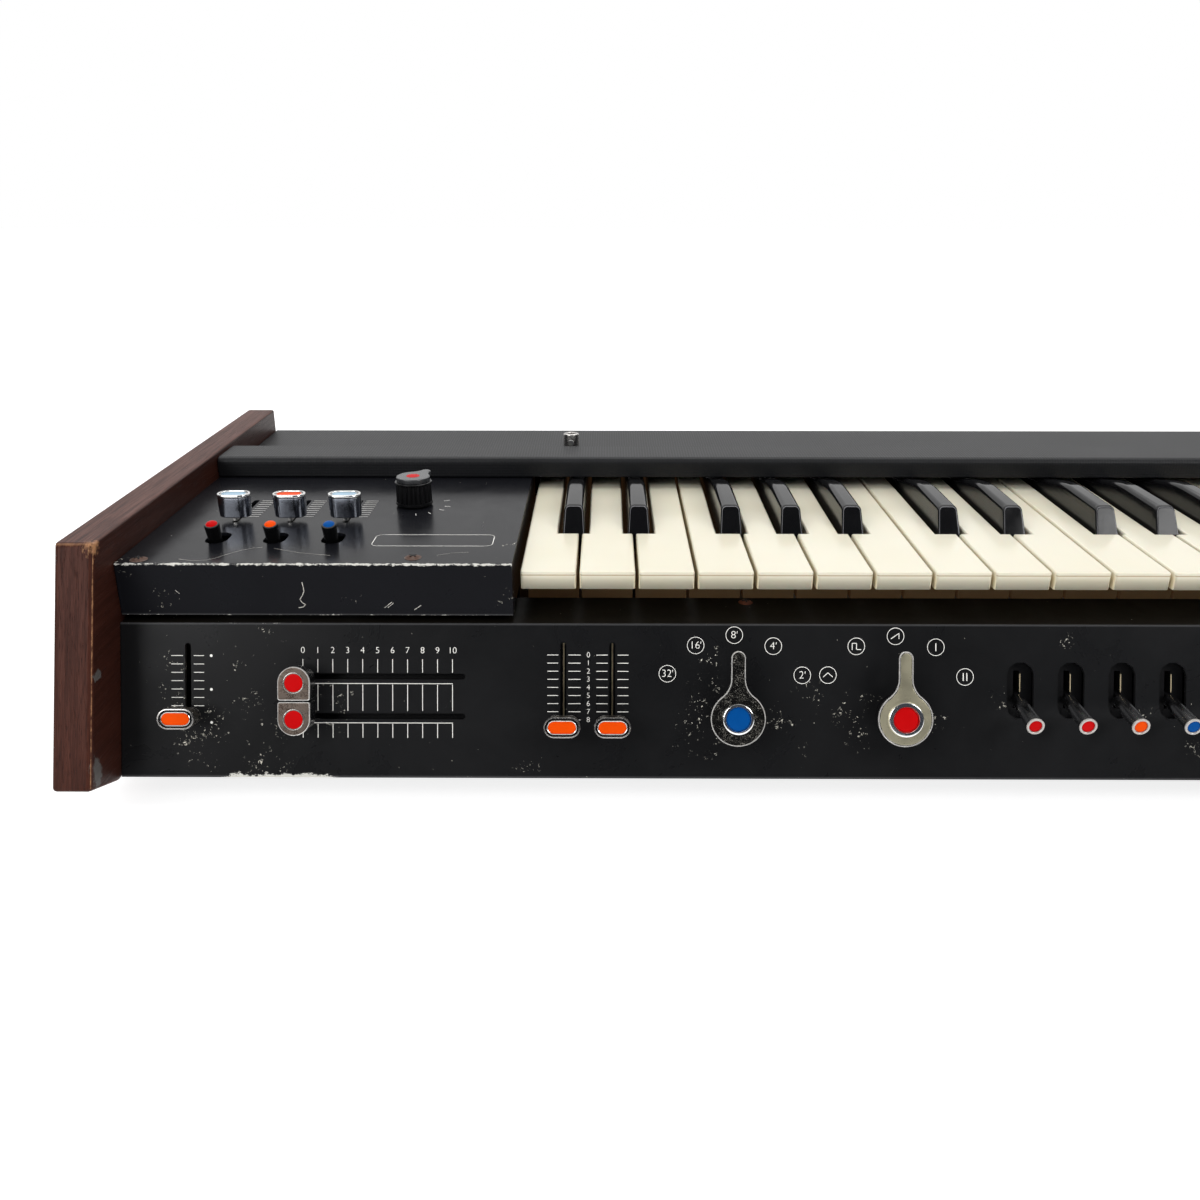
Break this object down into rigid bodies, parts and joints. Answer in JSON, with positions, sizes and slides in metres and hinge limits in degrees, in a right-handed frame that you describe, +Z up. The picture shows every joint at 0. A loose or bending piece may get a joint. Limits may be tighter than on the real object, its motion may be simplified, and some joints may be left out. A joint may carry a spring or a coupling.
{
  "type": "analog synthesizer",
  "caption": "Vintage monophonic analog synthesizer with a short keyboard, wooden cheeks, sloped control panel and sliders.",
  "frame": {"origin": "bottom centre of the whole instrument, on the surface under its feet", "axes": "+X to the player's right, +Y away from the player, +Z up"},
  "size_m": [0.738, 0.2788, 0.1092],
  "materials": {
    "cheek_wood": "satin",
    "pan_steel": "satin",
    "black_paint": "satin",
    "black_vinyl": "matte",
    "chrome": "polished",
    "socket_metal": "satin",
    "frame_steel": "satin",
    "board": "matte",
    "ivory_plastic": "gloss",
    "ebony_plastic": "gloss",
    "black_plastic": "satin"
  },
  "bodies": {
    "case": {"left_cheek": "cheek_wood", "right_cheek": "cheek_wood", "bottom_pan": "pan_steel", "front_panel": "black_paint", "effects_panel": "black_paint", "right_end_block": "black_paint", "rear_cover": "black_vinyl", "left_stand_post": "chrome", "right_stand_post": "chrome", "rear_sockets": "socket_metal", "key_frame": "frame_steel", "control_board": "board", "effects_board": "board"},
    "key_c_1": {"key_c_1": "ivory_plastic"},
    "key_c_sharp_1": {"key_c_sharp_1": "ebony_plastic"},
    "key_d_1": {"key_d_1": "ivory_plastic"},
    "key_d_sharp_1": {"key_d_sharp_1": "ebony_plastic"},
    "key_e_1": {"key_e_1": "ivory_plastic"},
    "key_f_1": {"key_f_1": "ivory_plastic"},
    "key_f_sharp_1": {"key_f_sharp_1": "ebony_plastic"},
    "key_g_1": {"key_g_1": "ivory_plastic"},
    "key_g_sharp_1": {"key_g_sharp_1": "ebony_plastic"},
    "key_a_1": {"key_a_1": "ivory_plastic"},
    "key_a_sharp_1": {"key_a_sharp_1": "ebony_plastic"},
    "key_b_1": {"key_b_1": "ivory_plastic"},
    "key_c_2": {"key_c_2": "ivory_plastic"},
    "key_c_sharp_2": {"key_c_sharp_2": "ebony_plastic"},
    "key_d_2": {"key_d_2": "ivory_plastic"},
    "key_d_sharp_2": {"key_d_sharp_2": "ebony_plastic"},
    "key_e_2": {"key_e_2": "ivory_plastic"},
    "key_f_2": {"key_f_2": "ivory_plastic"},
    "key_f_sharp_2": {"key_f_sharp_2": "ebony_plastic"},
    "key_g_2": {"key_g_2": "ivory_plastic"},
    "key_g_sharp_2": {"key_g_sharp_2": "ebony_plastic"},
    "key_a_2": {"key_a_2": "ivory_plastic"},
    "key_a_sharp_2": {"key_a_sharp_2": "ebony_plastic"},
    "key_b_2": {"key_b_2": "ivory_plastic"},
    "volume_slider": {"volume_slider": "chrome"},
    "attack_slider": {"attack_slider": "chrome"},
    "percussion_slider": {"percussion_slider": "chrome"},
    "upper_cross_slider": {"upper_cross_slider": "chrome"},
    "lower_cross_slider": {"lower_cross_slider": "chrome"},
    "scale_knob": {"scale_knob": "chrome"},
    "mode_knob": {"mode_knob": "chrome"},
    "speed_knob": {"speed_knob": "chrome"},
    "depth_knob": {"depth_knob": "chrome"},
    "lever_1": {"lever_1": "black_plastic"},
    "lever_2": {"lever_2": "black_plastic"},
    "lever_3": {"lever_3": "black_plastic"},
    "lever_4": {"lever_4": "black_plastic"},
    "lever_5": {"lever_5": "black_plastic"},
    "lever_6": {"lever_6": "black_plastic"},
    "lever_7": {"lever_7": "black_plastic"},
    "effects_slider_1": {"effects_slider_1": "chrome"},
    "effects_lever_1": {"effects_lever_1": "black_plastic"},
    "effects_slider_2": {"effects_slider_2": "chrome"},
    "effects_lever_2": {"effects_lever_2": "black_plastic"},
    "effects_slider_3": {"effects_slider_3": "chrome"},
    "effects_lever_3": {"effects_lever_3": "black_plastic"},
    "rotary_selector": {"rotary_selector": "black_plastic"}
  },
  "joints": [
    {"name": "press_c_1", "type": "hinge", "parent": "case", "child": "key_c_1", "pos_m": [-0.18465, 0.112, 0.08], "axis": [1, 0, 0], "range_deg": [0, 2.6], "stiffness_Nm_per_rad": 0.5, "springref_deg": -20.05},
    {"name": "press_c_sharp_1", "type": "hinge", "parent": "case", "child": "key_c_sharp_1", "pos_m": [-0.1759, 0.112, 0.08], "axis": [1, 0, 0], "range_deg": [0, 2.6], "stiffness_Nm_per_rad": 0.5, "springref_deg": -20.05},
    {"name": "press_d_1", "type": "hinge", "parent": "case", "child": "key_d_1", "pos_m": [-0.16115, 0.112, 0.08], "axis": [1, 0, 0], "range_deg": [0, 2.6], "stiffness_Nm_per_rad": 0.5, "springref_deg": -20.05},
    {"name": "press_d_sharp_1", "type": "hinge", "parent": "case", "child": "key_d_sharp_1", "pos_m": [-0.1474, 0.112, 0.08], "axis": [1, 0, 0], "range_deg": [0, 2.6], "stiffness_Nm_per_rad": 0.5, "springref_deg": -20.05},
    {"name": "press_e_1", "type": "hinge", "parent": "case", "child": "key_e_1", "pos_m": [-0.13765, 0.112, 0.08], "axis": [1, 0, 0], "range_deg": [0, 2.6], "stiffness_Nm_per_rad": 0.5, "springref_deg": -20.05},
    {"name": "press_f_1", "type": "hinge", "parent": "case", "child": "key_f_1", "pos_m": [-0.11415, 0.112, 0.08], "axis": [1, 0, 0], "range_deg": [0, 2.6], "stiffness_Nm_per_rad": 0.5, "springref_deg": -20.05},
    {"name": "press_f_sharp_1", "type": "hinge", "parent": "case", "child": "key_f_sharp_1", "pos_m": [-0.1069, 0.112, 0.08], "axis": [1, 0, 0], "range_deg": [0, 2.6], "stiffness_Nm_per_rad": 0.5, "springref_deg": -20.05},
    {"name": "press_g_1", "type": "hinge", "parent": "case", "child": "key_g_1", "pos_m": [-0.09065, 0.112, 0.08], "axis": [1, 0, 0], "range_deg": [0, 2.6], "stiffness_Nm_per_rad": 0.5, "springref_deg": -20.05},
    {"name": "press_g_sharp_1", "type": "hinge", "parent": "case", "child": "key_g_sharp_1", "pos_m": [-0.0804, 0.112, 0.08], "axis": [1, 0, 0], "range_deg": [0, 2.6], "stiffness_Nm_per_rad": 0.5, "springref_deg": -20.05},
    {"name": "press_a_1", "type": "hinge", "parent": "case", "child": "key_a_1", "pos_m": [-0.06715, 0.112, 0.08], "axis": [1, 0, 0], "range_deg": [0, 2.6], "stiffness_Nm_per_rad": 0.5, "springref_deg": -20.05},
    {"name": "press_a_sharp_1", "type": "hinge", "parent": "case", "child": "key_a_sharp_1", "pos_m": [-0.0536, 0.112, 0.08], "axis": [1, 0, 0], "range_deg": [0, 2.6], "stiffness_Nm_per_rad": 0.5, "springref_deg": -20.05},
    {"name": "press_b_1", "type": "hinge", "parent": "case", "child": "key_b_1", "pos_m": [-0.04365, 0.112, 0.08], "axis": [1, 0, 0], "range_deg": [0, 2.6], "stiffness_Nm_per_rad": 0.5, "springref_deg": -20.05},
    {"name": "press_c_2", "type": "hinge", "parent": "case", "child": "key_c_2", "pos_m": [-0.02015, 0.112, 0.08], "axis": [1, 0, 0], "range_deg": [0, 2.6], "stiffness_Nm_per_rad": 0.5, "springref_deg": -20.05},
    {"name": "press_c_sharp_2", "type": "hinge", "parent": "case", "child": "key_c_sharp_2", "pos_m": [-0.0114, 0.112, 0.08], "axis": [1, 0, 0], "range_deg": [0, 2.6], "stiffness_Nm_per_rad": 0.5, "springref_deg": -20.05},
    {"name": "press_d_2", "type": "hinge", "parent": "case", "child": "key_d_2", "pos_m": [0.00335, 0.112, 0.08], "axis": [1, 0, 0], "range_deg": [0, 2.6], "stiffness_Nm_per_rad": 0.5, "springref_deg": -20.05},
    {"name": "press_d_sharp_2", "type": "hinge", "parent": "case", "child": "key_d_sharp_2", "pos_m": [0.0171, 0.112, 0.08], "axis": [1, 0, 0], "range_deg": [0, 2.6], "stiffness_Nm_per_rad": 0.5, "springref_deg": -20.05},
    {"name": "press_e_2", "type": "hinge", "parent": "case", "child": "key_e_2", "pos_m": [0.02685, 0.112, 0.08], "axis": [1, 0, 0], "range_deg": [0, 2.6], "stiffness_Nm_per_rad": 0.5, "springref_deg": -20.05},
    {"name": "press_f_2", "type": "hinge", "parent": "case", "child": "key_f_2", "pos_m": [0.05035, 0.112, 0.08], "axis": [1, 0, 0], "range_deg": [0, 2.6], "stiffness_Nm_per_rad": 0.5, "springref_deg": -20.05},
    {"name": "press_f_sharp_2", "type": "hinge", "parent": "case", "child": "key_f_sharp_2", "pos_m": [0.0576, 0.112, 0.08], "axis": [1, 0, 0], "range_deg": [0, 2.6], "stiffness_Nm_per_rad": 0.5, "springref_deg": -20.05},
    {"name": "press_g_2", "type": "hinge", "parent": "case", "child": "key_g_2", "pos_m": [0.07385, 0.112, 0.08], "axis": [1, 0, 0], "range_deg": [0, 2.6], "stiffness_Nm_per_rad": 0.5, "springref_deg": -20.05},
    {"name": "press_g_sharp_2", "type": "hinge", "parent": "case", "child": "key_g_sharp_2", "pos_m": [0.0841, 0.112, 0.08], "axis": [1, 0, 0], "range_deg": [0, 2.6], "stiffness_Nm_per_rad": 0.5, "springref_deg": -20.05},
    {"name": "press_a_2", "type": "hinge", "parent": "case", "child": "key_a_2", "pos_m": [0.09735, 0.112, 0.08], "axis": [1, 0, 0], "range_deg": [0, 2.6], "stiffness_Nm_per_rad": 0.5, "springref_deg": -20.05},
    {"name": "press_a_sharp_2", "type": "hinge", "parent": "case", "child": "key_a_sharp_2", "pos_m": [0.1109, 0.112, 0.08], "axis": [1, 0, 0], "range_deg": [0, 2.6], "stiffness_Nm_per_rad": 0.5, "springref_deg": -20.05},
    {"name": "press_b_2", "type": "hinge", "parent": "case", "child": "key_b_2", "pos_m": [0.12085, 0.112, 0.08], "axis": [1, 0, 0], "range_deg": [0, 2.6], "stiffness_Nm_per_rad": 0.5, "springref_deg": -20.05},
    {"name": "slide_volume", "type": "slide", "parent": "case", "child": "volume_slider", "axis": [0, 0.342, 0.9397], "range_m": [0, 0.0234]},
    {"name": "slide_attack", "type": "slide", "parent": "case", "child": "attack_slider", "axis": [0, 0.342, 0.9397], "range_m": [0, 0.0269]},
    {"name": "slide_percussion", "type": "slide", "parent": "case", "child": "percussion_slider", "axis": [0, 0.342, 0.9397], "range_m": [0, 0.0269]},
    {"name": "slide_upper_cross", "type": "slide", "parent": "case", "child": "upper_cross_slider", "axis": [1, 0, 0], "range_m": [0, 0.0592]},
    {"name": "slide_lower_cross", "type": "slide", "parent": "case", "child": "lower_cross_slider", "axis": [1, 0, 0], "range_m": [0, 0.0592]},
    {"name": "turn_scale", "type": "hinge", "parent": "case", "child": "scale_knob", "pos_m": [-0.1108, -0.10668, 0.03687], "axis": [0, -0.9397, 0.342], "range_deg": [-60, 60]},
    {"name": "turn_mode", "type": "hinge", "parent": "case", "child": "mode_knob", "pos_m": [-0.0466, -0.10668, 0.03687], "axis": [0, -0.9397, 0.342], "range_deg": [-60, 60]},
    {"name": "turn_speed", "type": "hinge", "parent": "case", "child": "speed_knob", "pos_m": [0.165, -0.10668, 0.03687], "axis": [0, -0.9397, 0.342], "range_deg": [-60, 60]},
    {"name": "turn_depth", "type": "hinge", "parent": "case", "child": "depth_knob", "pos_m": [0.232, -0.10668, 0.03687], "axis": [0, -0.9397, 0.342], "range_deg": [-60, 60]},
    {"name": "flip_lever_1", "type": "hinge", "parent": "case", "child": "lever_1", "pos_m": [0.0017, -0.09198, 0.04216], "axis": [-1, 0, 0], "range_deg": [0, 46]},
    {"name": "flip_lever_2", "type": "hinge", "parent": "case", "child": "lever_2", "pos_m": [0.0217, -0.09198, 0.04216], "axis": [-1, 0, 0], "range_deg": [0, 46]},
    {"name": "flip_lever_3", "type": "hinge", "parent": "case", "child": "lever_3", "pos_m": [0.0417, -0.09198, 0.04216], "axis": [-1, 0, 0], "range_deg": [0, 46]},
    {"name": "flip_lever_4", "type": "hinge", "parent": "case", "child": "lever_4", "pos_m": [0.0617, -0.09198, 0.04216], "axis": [-1, 0, 0], "range_deg": [0, 46]},
    {"name": "flip_lever_5", "type": "hinge", "parent": "case", "child": "lever_5", "pos_m": [0.0817, -0.09198, 0.04216], "axis": [-1, 0, 0], "range_deg": [0, 46]},
    {"name": "flip_lever_6", "type": "hinge", "parent": "case", "child": "lever_6", "pos_m": [0.1017, -0.09198, 0.04216], "axis": [-1, 0, 0], "range_deg": [0, 46]},
    {"name": "flip_lever_7", "type": "hinge", "parent": "case", "child": "lever_7", "pos_m": [0.308, -0.09198, 0.04216], "axis": [-1, 0, 0], "range_deg": [0, 46]},
    {"name": "slide_effects_1", "type": "slide", "parent": "case", "child": "effects_slider_1", "axis": [0, 1, 0], "range_m": [0, 0.026]},
    {"name": "flip_effects_1", "type": "hinge", "parent": "case", "child": "effects_lever_1", "pos_m": [-0.323, -0.0602, 0.0837], "axis": [-1, 0, 0], "range_deg": [0, 34]},
    {"name": "slide_effects_2", "type": "slide", "parent": "case", "child": "effects_slider_2", "axis": [0, 1, 0], "range_m": [0, 0.026]},
    {"name": "flip_effects_2", "type": "hinge", "parent": "case", "child": "effects_lever_2", "pos_m": [-0.299, -0.0602, 0.0837], "axis": [-1, 0, 0], "range_deg": [0, 34]},
    {"name": "slide_effects_3", "type": "slide", "parent": "case", "child": "effects_slider_3", "axis": [0, 1, 0], "range_m": [0, 0.026]},
    {"name": "flip_effects_3", "type": "hinge", "parent": "case", "child": "effects_lever_3", "pos_m": [-0.275, -0.0602, 0.0837], "axis": [-1, 0, 0], "range_deg": [0, 34]},
    {"name": "turn_selector", "type": "hinge", "parent": "case", "child": "rotary_selector", "pos_m": [-0.249, -0.012, 0.0947], "axis": [0, 0, 1], "range_deg": [-120, 30]}
  ]
}
